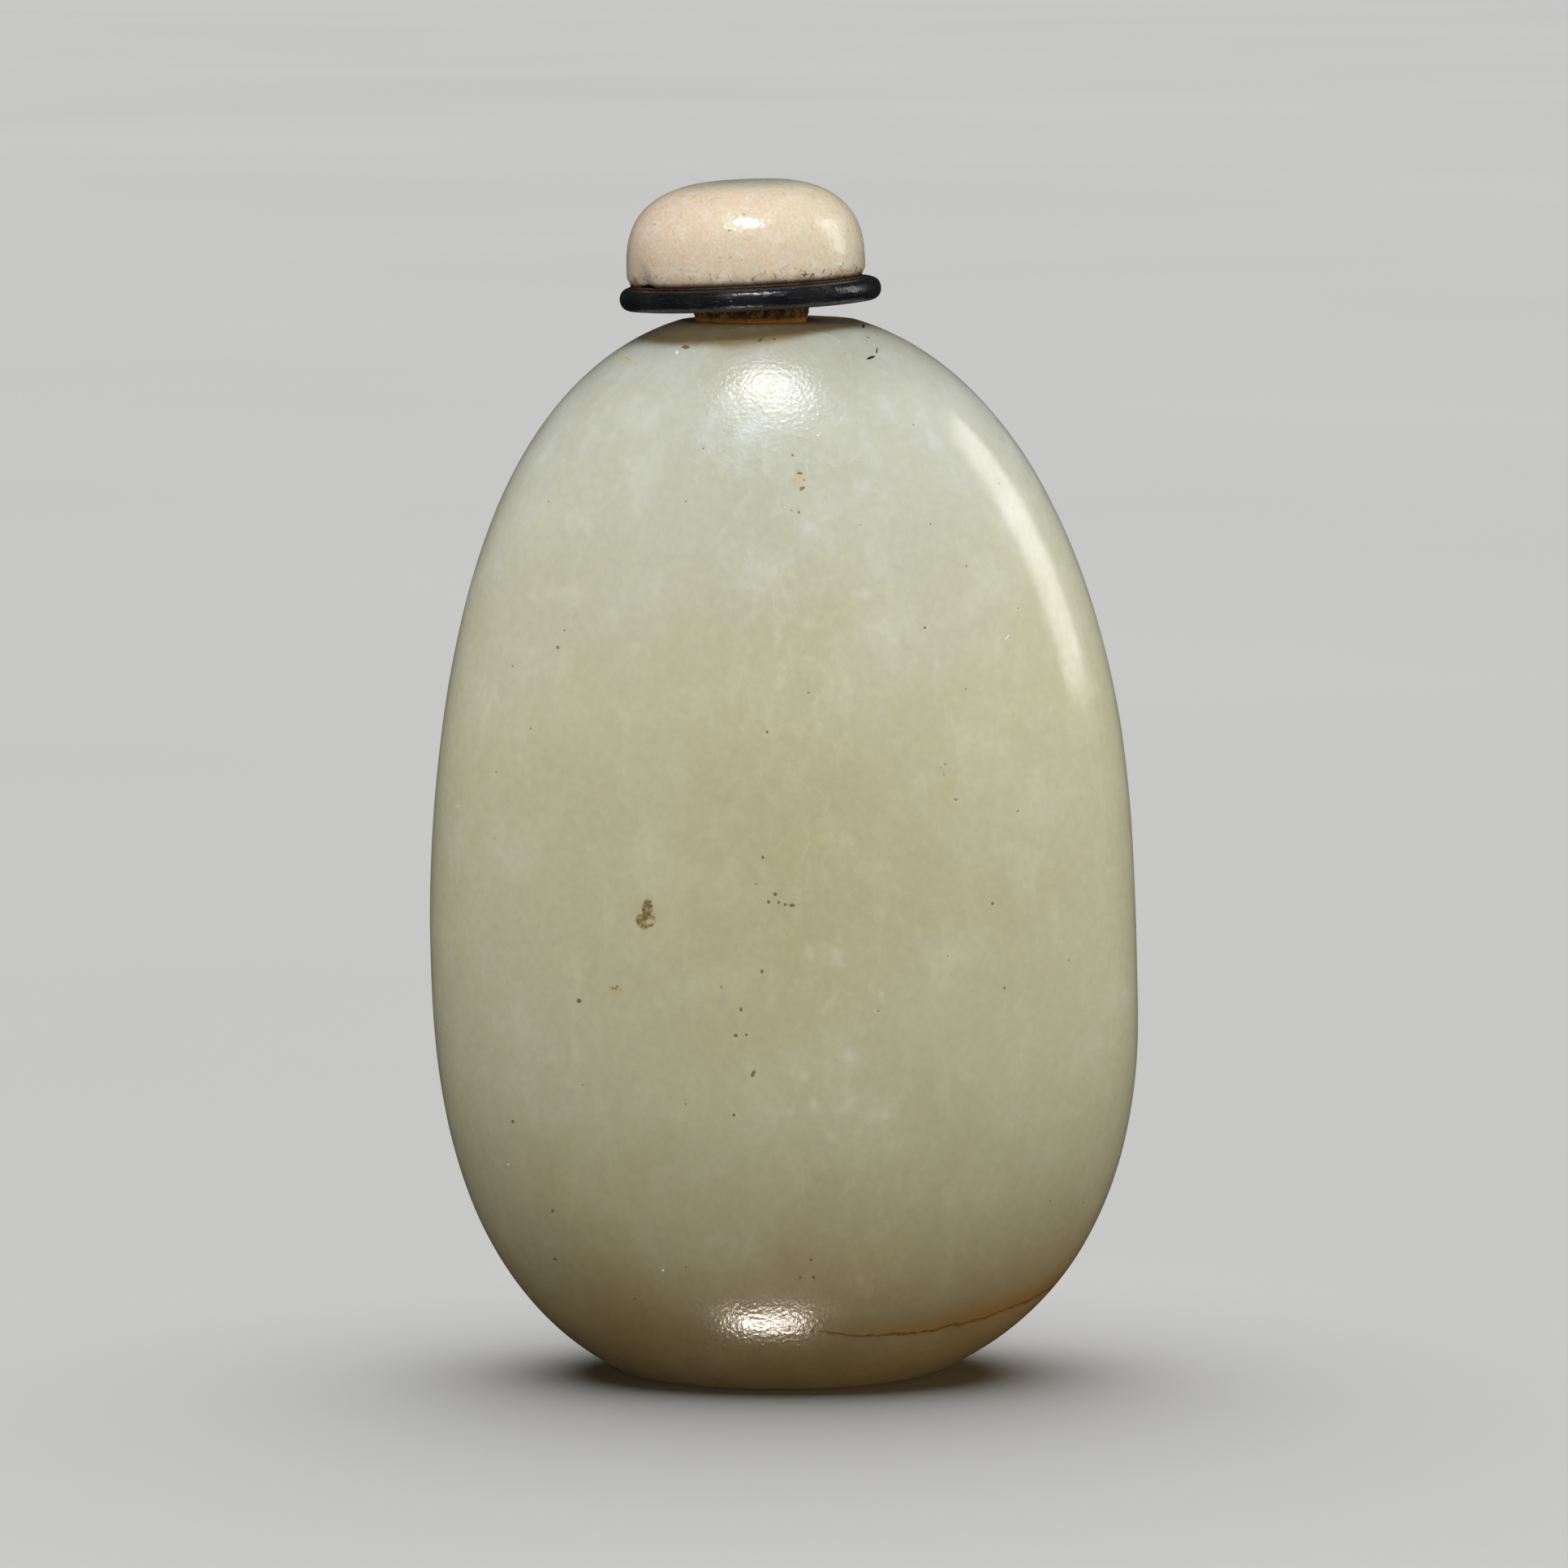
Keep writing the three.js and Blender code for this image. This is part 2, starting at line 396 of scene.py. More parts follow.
class Shader:
    """A node material built from short calls. Vectors are in drawn millimetres."""

    def __init__(self, name):
        self.material = bpy.data.materials.new(name)
        self.material.use_nodes = True
        self.tree = self.material.node_tree
        self.surface = self.tree.nodes["Principled BSDF"]
        place = self.tree.nodes.new("ShaderNodeTexCoord").outputs["Object"]
        self.point = self.vector("SCALE", place, factor=1 / UNIT)
        parts = self.tree.nodes.new("ShaderNodeSeparateXYZ")
        self.tree.links.new(self.point, parts.inputs[0])
        self.x, self.y, self.z = parts.outputs

    def give(self, socket, value):
        """Links a socket to another socket, or sets its value."""
        if isinstance(value, bpy.types.NodeSocket):
            self.tree.links.new(value, socket)
        else:
            socket.default_value = value

    def vector(self, operation, first, second=(0, 0, 0), factor=1):
        """A Vector Math node's result."""
        node = self.tree.nodes.new("ShaderNodeVectorMath")
        node.operation = operation
        self.give(node.inputs[0], first)
        self.give(node.inputs[1], second)
        if operation == "SCALE":
            node.inputs["Scale"].default_value = factor
        return node.outputs["Value" if operation in ("LENGTH", "DOT_PRODUCT") else "Vector"]

    def math(self, operation, *values):
        """A Math node's result."""
        node = self.tree.nodes.new("ShaderNodeMath")
        node.operation = operation
        for socket, value in zip(node.inputs, values):
            self.give(socket, value)
        return node.outputs[0]

    def noise(self, size, detail=3, roughness=0.5, distortion=0, seed=0, stretch=(1, 1, 1)):
        """Noise from 0 to 1 with bumps of about the given size."""
        place = self.vector("MULTIPLY_ADD", self.point, stretch)
        place.node.inputs[2].default_value = (7.3 * seed, -3.1 * seed, 5.7 * seed)
        node = self.tree.nodes.new("ShaderNodeTexNoise")
        self.give(node.inputs["Vector"], place)
        node.inputs["Scale"].default_value = 1 / size
        node.inputs["Detail"].default_value = detail
        node.inputs["Roughness"].default_value = roughness
        node.inputs["Distortion"].default_value = distortion
        return node.outputs[0]

    def step(self, value, low, high, to_low=0, to_high=1, straight=False):
        """From to_low to to_high as the value goes from low to high, eased unless straight."""
        node = self.tree.nodes.new("ShaderNodeMapRange")
        node.interpolation_type = "LINEAR" if straight else "SMOOTHSTEP"
        for socket, number in zip(node.inputs, (value, low, high, to_low, to_high)):
            self.give(socket, number)
        return node.outputs[0]

    def blend(self, share, first, second):
        """A colour that goes from first to second as share goes from 0 to 1."""
        node = self.tree.nodes.new("ShaderNodeMix")
        node.data_type = "RGBA"
        self.give(node.inputs["Factor"], share)
        self.give(node.inputs["A"], (*first, 1) if isinstance(first, tuple) else first)
        self.give(node.inputs["B"], (*second, 1) if isinstance(second, tuple) else second)
        return node.outputs["Result"]

    def ramp(self, value, tones):
        """A colour that passes through (value, colour) tones, from low to high."""
        low, high = tones[0][0], tones[-1][0]
        node = self.tree.nodes.new("ShaderNodeValToRGB")
        self.give(node.inputs[0], self.step(value, low, high, straight=True))
        stops = node.color_ramp.elements
        stops[0].color = (*tones[0][1], 1)
        stops[-1].color = (*tones[-1][1], 1)
        for place, colour in tones[1:-1]:
            stops.new((place - low) / (high - low)).color = (*colour, 1)
        return node.outputs[0]

    def shade(self, colour, level):
        """A colour made lighter or darker by a factor."""
        node = self.tree.nodes.new("ShaderNodeCombineXYZ")
        for socket in node.inputs:
            self.give(socket, level)
        return self.vector("MULTIPLY", colour, node.outputs[0])

    def tint(self, share, colour, factors):
        """A colour multiplied by factors for red, green and blue as share goes from 0 to 1."""
        return self.blend(share, colour, self.vector("MULTIPLY", colour, factors))

    def marks(self, listed, ragged, softness=0.3):
        """Where any of the listed marks lies on the front, from 0 to 1."""
        best = -1.0
        for x, z, across, up, lean, gaps in listed:
            turn = math.radians(lean)
            offset = self.vector("SUBTRACT", self.point, (x, 0, z))
            first_axis = (math.cos(turn) / across, 0, -math.sin(turn) / across)
            second_axis = (math.sin(turn) / up, 0, math.cos(turn) / up)
            first = self.vector("DOT_PRODUCT", offset, first_axis)
            second = self.vector("DOT_PRODUCT", offset, second_axis)
            away = self.math("MULTIPLY_ADD", first, first, self.math("MULTIPLY", second, second))
            away = self.math("SQRT", away)
            # Gaps bite into the oval where ragged is high, and it swells where ragged is low.
            inside = 1.0
            if gaps:
                inside = self.math("MULTIPLY_ADD", ragged, -2.4 * gaps, 1 + 0.35 * gaps)
            best = self.math("MAXIMUM", best, self.math("SUBTRACT", inside, away))
        on_front = self.math("LESS_THAN", self.y, 0)
        return self.math("MULTIPLY", self.step(best, 0, softness), on_front)

    def specks(self, spacing, radius, share, seed):
        """Sparse small dots, anywhere on the surface, from 0 to 1."""
        place = self.vector("ADD", self.point, (seed, seed, seed))
        node = self.tree.nodes.new("ShaderNodeTexVoronoi")
        self.give(node.inputs["Vector"], place)
        node.inputs["Scale"].default_value = 1 / spacing
        near = self.step(node.outputs["Distance"], radius / spacing, 0.6 * radius / spacing)
        cell = self.tree.nodes.new("ShaderNodeSeparateColor")
        self.give(cell.inputs[0], node.outputs["Color"])
        return self.math("MULTIPLY", near, self.math("LESS_THAN", cell.outputs[0], share))

    def bump(self, layers):
        """Fine relief from (height socket, height in millimetres) layers."""
        normal = None
        for height, size in layers:
            node = self.tree.nodes.new("ShaderNodeBump")
            node.inputs["Strength"].default_value = 1
            node.inputs["Distance"].default_value = size * UNIT
            self.give(node.inputs["Height"], height)
            if normal:
                self.tree.links.new(normal, node.inputs["Normal"])
            normal = node.outputs[0]
        self.tree.links.new(normal, self.surface.inputs["Normal"])

    def glow(self, depth, share, colour):
        """Lets light into the stone. It spreads about as far as depth, in millimetres."""
        self.surface.subsurface_method = "RANDOM_WALK"
        self.surface.inputs["Subsurface Weight"].default_value = share
        self.surface.inputs["Subsurface Radius"].default_value = colour
        self.surface.inputs["Subsurface Scale"].default_value = depth * UNIT

    def finish(self, colour, roughness, ior):
        """Sets the surface and gives the material."""
        self.give(self.surface.inputs["Base Color"], colour)
        self.give(self.surface.inputs["Roughness"], roughness)
        self.surface.inputs["IOR"].default_value = ior
        return self.material


# ---- Jade -------------------------------------------------------------------------

# The stone's colour by height in millimetres, from the foot to the shoulders. It darkens towards
# the foot and just under the collar, partly as the stone's own colour and partly as painted shade.
JADE_TONES_AND_SHADE = [
    (0, (0.23, 0.145, 0.045)),
    (3.5, (0.36, 0.27, 0.125)),
    (9, (0.47, 0.41, 0.25)),
    (16, (0.56, 0.54, 0.36)),
    (28, (0.645, 0.62, 0.43)),
    (40, (0.67, 0.655, 0.465)),
    (50, (0.65, 0.655, 0.52)),
    (57, (0.60, 0.615, 0.53)),
    (61.6, (0.43, 0.44, 0.37)),
]

OLIVE = (0.61, 0.565, 0.345)
AMBER = (0.43, 0.235, 0.045)
RUST = (0.37, 0.20, 0.05)

# What a dull cloud, a milky veil, a flake and a pale cloud do to the colour under them.
DULL = (0.94, 0.91, 0.82)
MILKY = (1.07, 1.085, 1.14)
FLAKY = (1.09, 1.10, 1.18)
PALE = (1.12, 1.13, 1.25)

# Small pale clouds just under the surface of the front face.
CLOUDLETS = [
    (4.0, 20.2, 0.95, 0.95, 0, 0.2),
    (1.4, 19.2, 0.75, 0.6, 0, 0.25),
    (2.0, 17.5, 0.65, 0.8, 0, 0.25),
    (0.6, 17.1, 0.6, 0.45, -20, 0.25),
    (6.0, 16.8, 0.5, 0.45, 0, 0.25),
    (2.9, 15.6, 0.7, 0.6, 20, 0.25),
    (5.8, 23.8, 0.35, 0.8, -15, 0.25),
    (3.3, 26.0, 0.7, 1.4, -25, 0.3),
    (1.7, 26.2, 0.5, 1.1, -20, 0.3),
    (-3.7, 9.5, 1.1, 0.8, 0, 0.3),
    (4.7, 52.8, 1.2, 0.8, 20, 0.3),
    (4.8, 46.7, 1.2, 0.7, 0, 0.3),
]
VEIL = (-0.9, 31.0, 0.75, 3.1, -30, 0.35)


def clean_stone_and_painted_light(s, warp, cloud):
    """The stone's colour: tones by height that are partly painted shade, flanks lightened by a
    painted glow, an olive heart, clouds, veils and flakes.
    """
    level = s.math("MULTIPLY_ADD", s.math("SUBTRACT", warp, 0.5), 5, s.z)
    colour = s.ramp(level, JADE_TONES_AND_SHADE)

    # Painted glow: the flanks are a little lighter, up to the shoulders, as light through the thin
    # stone would make them.
    depth = s.math("ABSOLUTE", s.y)
    painted_flank_glow = s.math("MULTIPLY", s.step(depth, 9, 1), s.step(s.z, 56, 44))
    colour = s.shade(colour, s.math("MULTIPLY_ADD", painted_flank_glow, 0.10, 1.0))

    # The olive heart is an uneven oval behind the middle of each broad face.
    across = s.math("DIVIDE", s.math("SUBTRACT", s.x, 0.2), 12)
    up = s.math("DIVIDE", s.math("SUBTRACT", s.z, 31.5), 15.5)
    away = s.math("SQRT", s.math("ADD", s.math("POWER", across, 2.0), s.math("POWER", up, 2.0)))
    away = s.math("MULTIPLY_ADD", s.math("SUBTRACT", warp, 0.5), 1.1, away)
    heart = s.step(away, 1.15, 0.15)
    colour = s.blend(s.math("MULTIPLY", heart, 0.9), colour, OLIVE)

    # Broad and middling clouds, then milky veils with a slanting band of flakes.
    wide = s.noise(13, 4, 0.55, 0.7, seed=2)
    colour = s.tint(s.step(wide, 0.42, 0.68, 0, 0.5), colour, DULL)
    colour = s.tint(s.step(cloud, 0.48, 0.72), colour, MILKY)
    band = s.math("MULTIPLY_ADD", s.z, 0.12, s.x)
    band = s.math("ABSOLUTE", s.math("SUBTRACT", band, 5.5))
    band = s.step(band, 6.0, 1.0)
    flake = s.noise(1.25, 4, 0.65, 0.6, seed=8, stretch=(1, 1, 0.7))
    flakes = s.math("MULTIPLY", s.step(flake, 0.48, 0.72), band)
    colour = s.tint(flakes, colour, FLAKY)
    streak = s.noise(1.9, 4, 0.6, 0.3, seed=4, stretch=(1, 1, 0.3))
    colour = s.tint(s.step(streak, 0.50, 0.75, 0, 0.8), colour, MILKY)
    colour = s.tint(s.marks([VEIL], cloud, softness=0.9), colour, MILKY)
    colour = s.tint(s.marks(CLOUDLETS, flake, softness=0.8), colour, PALE)
    felt = s.noise(0.55, 3, 0.6, seed=5)
    return s.shade(colour, s.step(felt, 0.2, 0.8, 0.955, 1.045))


def golden_corner_and_glow(s, colour, warp):
    """The lower right corner is golden, most of all along the foot: partly the stone's own colour
    and partly a painted glow of light through the stone.
    """
    low = s.math("MULTIPLY_ADD", s.math("SUBTRACT", warp, 0.5), 4, s.z)
    corner = s.math("MULTIPLY_ADD", s.x, -0.55, low)
    return s.blend(s.step(corner, 2, -9, 0, 0.8), colour, AMBER)


def old_crack(s, colour, ragged):
    """A hairline above the foot, with a russet stain that spreads upwards from it."""
    from_middle = s.math("SUBTRACT", s.x, CRACK_X)
    right = s.math("MAXIMUM", from_middle, 0.0)
    left = s.math("MINIMUM", from_middle, 0.0)
    line = s.math("MULTIPLY_ADD", s.math("MULTIPLY", right, right), CRACK_BEND_RIGHT, CRACK_Z)
    line = s.math("MULTIPLY_ADD", s.math("MULTIPLY", left, left), CRACK_BEND_LEFT, line)
    wander = s.noise(1.4, 3, 0.6, seed=9)
    line = s.math("MULTIPLY_ADD", s.math("SUBTRACT", wander, 0.5), 0.7, line)
    over = s.math("SUBTRACT", s.z, line)
    reach = s.math("MULTIPLY", s.step(s.x, -3.5, 6.0), s.step(s.y, 5, -2))
    stain = s.math("MULTIPLY", s.step(over, 1.6, 0.0), s.step(over, -0.35, 0.0))
    stain = s.math("MULTIPLY", stain, reach)
    stain = s.math("MULTIPLY", stain, s.step(s.x, 2.0, 12.0, 0.25, 0.8))
    colour = s.blend(stain, colour, RUST)
    hair = s.math("MULTIPLY", s.step(s.math("ABSOLUTE", over), 0.10, 0.02), reach)
    hair = s.math("MULTIPLY", hair, s.step(ragged, 0.25, 0.55, 0.35, 1))
    return s.blend(hair, colour, (0.20, 0.10, 0.03))


def blemishes(s, colour, cloud, ragged):
    """Stained patches, crumbs, the bruise, single marks and a scatter of fine dots."""
    near_marks = s.marks(STAINED_PATCHES, cloud, softness=1.0)
    colour = s.blend(s.math("MULTIPLY", near_marks, 0.42), colour, (0.66, 0.49, 0.21))
    crumbs = s.math("MAXIMUM", s.specks(0.36, 0.13, 0.55, 4.4), s.specks(0.21, 0.07, 0.5, 7.7))
    crumbs = s.math("MULTIPLY", crumbs, s.marks(CRUMB_PATCHES, ragged, softness=0.5))
    colour = s.blend(s.math("MULTIPLY", crumbs, 0.85), colour, (0.22, 0.12, 0.035))
    bruise = s.marks(BRUISE, ragged)
    bruised = s.blend(s.step(ragged, 0.42, 0.58), (0.19, 0.125, 0.035), (0.44, 0.35, 0.15))
    colour = s.blend(s.math("MULTIPLY", bruise, 0.9), colour, bruised)
    core = s.marks([BRUISE_CORE], ragged)
    colour = s.blend(s.math("MULTIPLY", core, 0.9), colour, (0.68, 0.60, 0.40))
    brown = s.marks(BROWN_MARKS, ragged)
    colour = s.blend(s.math("MULTIPLY", brown, 0.8), colour, (0.16, 0.09, 0.03))
    colour = s.blend(s.marks(BLACK_MARKS, ragged), colour, (0.02, 0.018, 0.015))
    colour = s.blend(s.marks(WHITE_MARKS, ragged), colour, (0.92, 0.93, 0.9))
    dots = s.specks(1.0, 0.085, 0.10, 4.4)
    return s.blend(s.math("MULTIPLY", dots, 0.6), colour, (0.16, 0.09, 0.03))


def mouth_stain_and_shadow(s, colour, cloud, ragged):
    """Round the mouth the stone is yellowed and darkened, partly a real stain and partly painted
    shadow of the collar with a dark edge, and has a russet rim.
    """
    shoulders = s.math("GREATER_THAN", s.z, MOUTH_Z)
    from_axis = s.vector("MULTIPLY", s.vector("SUBTRACT", s.point, (BORE_X, 0, 0)), (1, 1, 0))
    from_axis = s.vector("LENGTH", from_axis)
    from_axis = s.math("MULTIPLY_ADD", s.math("SUBTRACT", cloud, 0.5), 0.5, from_axis)
    # The mask of the collar's painted shadow, which is also where the real yellow stain lies.
    stained = s.math("MULTIPLY", s.step(from_axis, 6.9, 6.4), shoulders)
    # Painted shadow: darkest at the shadow's edge and lighter near the bore, with a warm tint that
    # is partly a real stain.
    stain = s.shade(colour, s.step(from_axis, 4.4, 6.3, 1.4, 0.65))
    stain = s.vector("MULTIPLY", stain, (1.12, 0.88, 0.58))
    colour = s.blend(stained, colour, stain)
    rim = s.step(s.math("MULTIPLY_ADD", ragged, 0.9, from_axis), 5.2, 3.8, 0, 0.75)
    return s.blend(s.math("MULTIPLY", rim, shoulders), colour, (0.40, 0.20, 0.05))


def jade_polish(s):
    """Sets the fine relief, and gives the roughness of a polish that is a little worn."""
    rubbed = s.math("MULTIPLY", s.step(s.math("ABSOLUTE", s.x), 8, 3), s.step(s.y, -4, -6))
    worn_shoulders = s.math("MULTIPLY", s.step(s.z, 49, 56), rubbed)
    worn_low = s.math("MULTIPLY", s.step(s.z, 9, 5, 0, 0.6), rubbed)
    worn = s.math("MAXIMUM", worn_shoulders, worn_low)
    grain = s.math("MULTIPLY_ADD", worn, 0.92, 0.08)
    dimples = s.math("MULTIPLY", s.noise(0.24, 1, 0.5, seed=10), grain)
    s.bump([(s.noise(0.9, 3, 0.55, seed=12), 0.004), (dimples, 0.026)])
    polish = s.step(s.noise(2.6, 3, 0.6, seed=11), 0.3, 0.7, 0.15, 0.20)
    return s.math("MULTIPLY_ADD", worn_shoulders, 0.13, polish)


def jade_material():
    """Pale celadon nephrite: cloudy, a little olive in the middle, russet near the foot, with
    painted shade and glow.
    """
    s = Shader("jade")
    warp = s.noise(9, 3, 0.55, seed=1)
    cloud = s.noise(4.2, 5, 0.6, 0.5, seed=3)
    ragged = s.noise(0.2, 3, 0.65, seed=6)
    colour = clean_stone_and_painted_light(s, warp, cloud)
    colour = golden_corner_and_glow(s, colour, warp)
    colour = old_crack(s, colour, ragged)
    colour = blemishes(s, colour, cloud, ragged)
    colour = mouth_stain_and_shadow(s, colour, cloud, ragged)
    s.glow(2.6, 0.85, (1, 0.95, 0.72))
    return s.finish(colour, jade_polish(s), 1.61)


# ---- Stopper materials ------------------------------------------------------------

# Dirt in the chip low on the cap's left: a mark of the same kind as those on the jade.
CHIP_DIRT = (-8.3, 64.0, 0.5, 0.75, -40, 0.4)


def cap_material():
    """Polished cream stone with a pink blush, a trace of green on the crown and small pits."""
    s = Shader("cap_stone")
    cream = (0.74, 0.665, 0.49)
    blush = (0.77, 0.63, 0.48)
    pale = (0.85, 0.79, 0.68)
    wide = s.noise(5.5, 3, 0.55, 0.4, seed=1)
    fine = s.noise(1.1, 4, 0.65, 0.3, seed=2)
    ragged = s.noise(0.3, 3, 0.6, seed=3)
    low = s.math("SUBTRACT", s.z, drawn(cap_low).z)
    low = s.math("MULTIPLY_ADD", s.x, -math.tan(STOPPER_LEAN), low)
    side = s.math("MULTIPLY_ADD", s.math("SUBTRACT", wide, 0.5), 14, s.x)
    colour = s.blend(s.step(side, 2.5, -6.5), cream, blush)
    base = s.math("MULTIPLY_ADD", fine, 2.0, low)
    colour = s.blend(s.step(base, 3.6, 0.6, 0, 0.35), colour, blush)
    colour = s.blend(s.step(fine, 0.46, 0.72, 0, 0.5), colour, pale)
    ochre = s.step(s.noise(0.75, 4, 0.7, 0.6, seed=4), 0.55, 0.72)
    colour = s.tint(ochre, colour, (0.95, 0.87, 0.72))
    colour = s.shade(colour, s.step(s.noise(0.2, 3, 0.65, seed=6), 0.25, 0.75, 0.92, 1.07))
    crown = s.math("MULTIPLY_ADD", fine, 0.7, low)
    colour = s.blend(s.step(crown, 5.9, 6.5, 0, 0.6), colour, (0.36, 0.44, 0.34))

    # Dirt along the foot of the stone, in crumbs above a brown line, thickest on the right.
    thick = s.step(s.x, -6, 4, 0.5, 1.0)
    dirt = s.math("MULTIPLY_ADD", s.noise(0.8, 4, 0.7, seed=5), 1.3, low)
    film = s.math("MULTIPLY", s.step(dirt, 1.5, 0.8, 0, 0.85), thick)
    colour = s.blend(film, colour, (0.27, 0.14, 0.055))
    crumb = s.noise(0.3, 4, 0.7, 0.5, seed=10)
    crumbs = s.math("MULTIPLY", s.step(crumb, 0.54, 0.63), s.step(dirt, 2.1, 1.2))
    colour = s.blend(s.math("MULTIPLY", crumbs, thick), colour, (0.12, 0.055, 0.02))
    colour = s.blend(s.step(low, 0.62, 0.3, 0, 0.96), colour, (0.075, 0.03, 0.012))
    speckled = s.step(s.x, 3, -5, 0.25, 0.85)
    dots = s.math("MAXIMUM", s.specks(0.85, 0.085, 0.5, 2.2), s.specks(0.6, 0.06, 0.4, 5.3))
    colour = s.blend(s.math("MULTIPLY", dots, speckled), colour, (0.24, 0.14, 0.07))
    pits = s.step(ragged, 0.72, 0.80)
    colour = s.blend(s.math("MULTIPLY", pits, 0.5), colour, (0.45, 0.30, 0.18))
    chip = s.marks([CHIP_DIRT], fine, softness=0.6)
    colour = s.blend(s.math("MULTIPLY", chip, 0.8), colour, (0.30, 0.15, 0.06))
    roughness = s.step(s.noise(1.6, 3, 0.6, seed=7), 0.3, 0.7, 0.16, 0.25)
    wander = s.noise(1.3, 3, 0.6, seed=8)
    grain = s.noise(0.3, 1, 0.6, seed=9)
    s.bump([(wander, 0.010), (pits, -0.012), (grain, 0.03)])
    s.glow(0.9, 0.6, (1, 0.6, 0.4))
    return s.finish(colour, roughness, 1.55)


def collar_material():
    """Black horn, turned and polished, with hair scratches and a scatter of dust."""
    s = Shader("collar")
    scratch = s.noise(0.5, 4, 0.75, 1.2, seed=1, stretch=(0.3, 0.3, 4))
    hair = s.step(scratch, 0.60, 0.66)
    dust = s.specks(0.5, 0.05, 0.12, 1.3)
    tone = s.step(s.noise(2.2, 3, 0.6, seed=2), 0.35, 0.7)
    colour = s.blend(tone, (0.006, 0.007, 0.009), (0.016, 0.015, 0.015))
    colour = s.blend(s.math("MULTIPLY", hair, 0.35), colour, (0.09, 0.09, 0.095))
    colour = s.blend(s.math("MULTIPLY", dust, 0.7), colour, (0.32, 0.30, 0.27))
    polish = s.step(s.noise(1.2, 3, 0.6, seed=3), 0.3, 0.7, 0.23, 0.32)
    roughness = s.math("MULTIPLY_ADD", hair, 0.12, polish)
    wander = s.noise(0.7, 3, 0.6, seed=4)
    grain = s.noise(0.3, 1, 0.6, seed=5)
    s.bump([(hair, -0.004), (wander, 0.003), (grain, 0.035)])
    return s.finish(colour, roughness, 1.54)


def cork_material():
    """Old cork, stained brown, with dark pores and an orange ring at the lip."""
    s = Shader("cork")
    pores = s.noise(0.28, 4, 0.7, 0.4, seed=1)
    stain = s.noise(1.3, 4, 0.65, 0.5, seed=2)
    colour = s.blend(s.step(stain, 0.35, 0.65), (0.17, 0.07, 0.014), (0.40, 0.21, 0.06))
    colour = s.blend(s.step(pores, 0.55, 0.44, 0, 0.95), colour, (0.05, 0.022, 0.008))
    from_lip = s.math("ABSOLUTE", s.math("SUBTRACT", drawn(bottle_high).z, s.z))
    rim = s.math("MULTIPLY_ADD", pores, 0.7, from_lip)
    colour = s.blend(s.step(rim, 0.62, 0.42, 0, 0.9), colour, (0.70, 0.30, 0.045))
    s.bump([(pores, 0.06)])
    return s.finish(colour, 0.85, 1.45)


def glue_material():
    """Dark brown resin with dust on it."""
    s = Shader("old_glue")
    crust = s.noise(0.35, 4, 0.7, seed=1)
    colour = s.blend(s.step(crust, 0.4, 0.65), (0.025, 0.010, 0.005), (0.085, 0.036, 0.014))
    s.bump([(crust, 0.04)])
    return s.finish(colour, s.step(crust, 0.3, 0.7, 0.45, 0.75), 1.5)


def floor_material():
    """Matt pale paper."""
    s = Shader("pale_floor")
    tone = s.noise(300, 3, 0.5, seed=1)
    colour = s.blend(s.step(tone, 0.3, 0.7), (0.555, 0.555, 0.55), (0.575, 0.575, 0.57))
    return s.finish(colour, s.step(tone, 0.3, 0.7, 0.7, 0.8), 1.45)


# ---- Pieces -----------------------------------------------------------------------


def make_bottle():
    """The jade body: foot, outside, lip, bore and hollow in one closed skin."""
    outside = []
    for i, z in enumerate(even_heights(OUTER_WIDTH, 0, LIP_Z, OUTER_LEVELS)):
        inset = FOOT_ROUNDING if i == 0 else 0
        half_width = half_size(OUTER_WIDTH, z) - inset
        half_depth = half_size(OUTER_DEPTH, z) - inset
        outside.append(oval_ring(centre_x(z), z, half_width, half_depth, RING_STEPS))
    outside = carved(outside, jade_relief)
    rounding = []
    for i in range(MOUTH_STEPS + 1):
        turn = math.pi / 2 * i / MOUTH_STEPS
        radius = BORE_RADIUS + BORE_ROUNDING * (1 - math.sin(turn))
        rounding.append((radius, LIP_Z - BORE_ROUNDING * (1 - math.cos(turn))))
    high = LIP_Z - 2 * BORE_ROUNDING
    fall = HOLLOW_TOP_Z + HOLLOW_TOP_GAP - high
    bore = [(BORE_RADIUS, high + fall * i / BORE_LEVELS) for i in range(BORE_LEVELS + 1)]
    mouth = lathe_rings(rounding + bore, RING_STEPS, BORE_X)
    inside = []
    for z in reversed(even_heights(INNER_WIDTH, HOLLOW_FLOOR_Z, HOLLOW_TOP_Z, INNER_LEVELS)):
        half_width = half_size(INNER_WIDTH, z)
        inside.append(oval_ring(centre_x(z), z, half_width, half_size(INNER_DEPTH, z), RING_STEPS))
    floor_pole = Vector((centre_x(HOLLOW_FLOOR_Z), 0, HOLLOW_FLOOR_Z))
    rings = outside + mouth + inside
    poles = Vector((0, 0, 0)), floor_pole
    piece = closed_piece("jade_bottle", rings, *poles, jade_material(), "jade")
    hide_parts("bottle")


